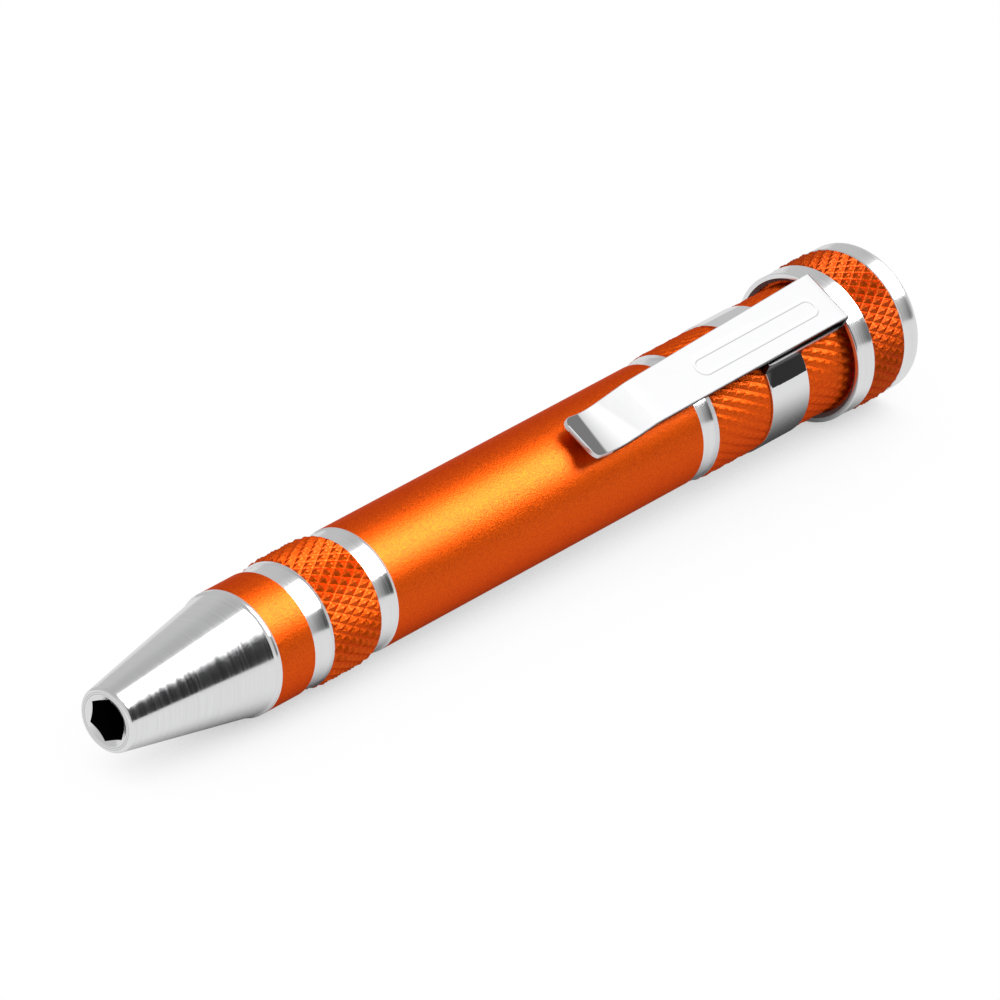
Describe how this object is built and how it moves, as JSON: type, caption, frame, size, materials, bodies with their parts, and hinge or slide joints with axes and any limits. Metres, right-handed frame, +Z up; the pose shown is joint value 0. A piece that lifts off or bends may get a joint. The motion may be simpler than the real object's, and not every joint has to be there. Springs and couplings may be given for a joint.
{
  "type": "pocket screwdriver",
  "caption": "Pen-shaped pocket screwdriver: hex bit socket in a turned nose cone, knurled barrel with a sprung clip, and a screw cap over the stored bits.",
  "frame": {"origin": "on the ground under the middle of the tool's footprint, with the tool lying on its side on the cap", "axes": "+X along the tool from the nose to the cap, +Z up; the clip leans from +Z towards -Y"},
  "size_m": [0.1114, 0.0162, 0.0174],
  "materials": {
    "bright_aluminium": "turned, bright",
    "orange_anodised": "blasted and anodised orange, with bright-cut rings",
    "chrome": "polished chrome plate on spring steel",
    "magnet_nickel": "nickel-plated disc magnet",
    "bit_steel": "satin tool steel",
    "pad_rubber": "soft black foam rubber"
  },
  "bodies": {
    "handle": {"barrel": "orange_anodised", "nose_cone": "bright_aluminium", "socket_magnet": "magnet_nickel", "clip_collar": "chrome", "bit_slotted_small": "bit_steel", "bit_slotted_large": "bit_steel", "bit_cross_small": "bit_steel", "bit_cross_middle": "bit_steel", "bit_cross_large": "bit_steel", "bit_star_small": "bit_steel", "bit_star_middle": "bit_steel", "bit_star_large": "bit_steel"},
    "clip_strip": {"clip_arm": "chrome"},
    "pad": {"cap_pad": "pad_rubber"},
    "cap": {"tail_cap": "orange_anodised"}
  },
  "joints": [
    {"name": "clip_flex", "type": "hinge", "parent": "handle", "child": "clip_strip", "pos_m": [0.04465, -0.00392, 0.01503], "axis": [0, 0.8704, 0.4924], "range_deg": [0, 6], "stiffness_Nm_per_rad": 0.6, "springref_deg": -1.15},
    {"name": "cap_travel", "type": "slide", "parent": "handle", "child": "pad", "axis": [1, 0, 0], "range_m": [0, 0.005]},
    {"name": "cap_turn", "type": "hinge", "parent": "pad", "child": "cap", "pos_m": [0.046, 0, 0.00811], "axis": [1, 0, 0], "range_deg": [0, 1800]}
  ],
  "couplings": [
    {"joint": "cap_turn", "follows": "cap_travel", "rad_per_m": 6283.2}
  ]
}
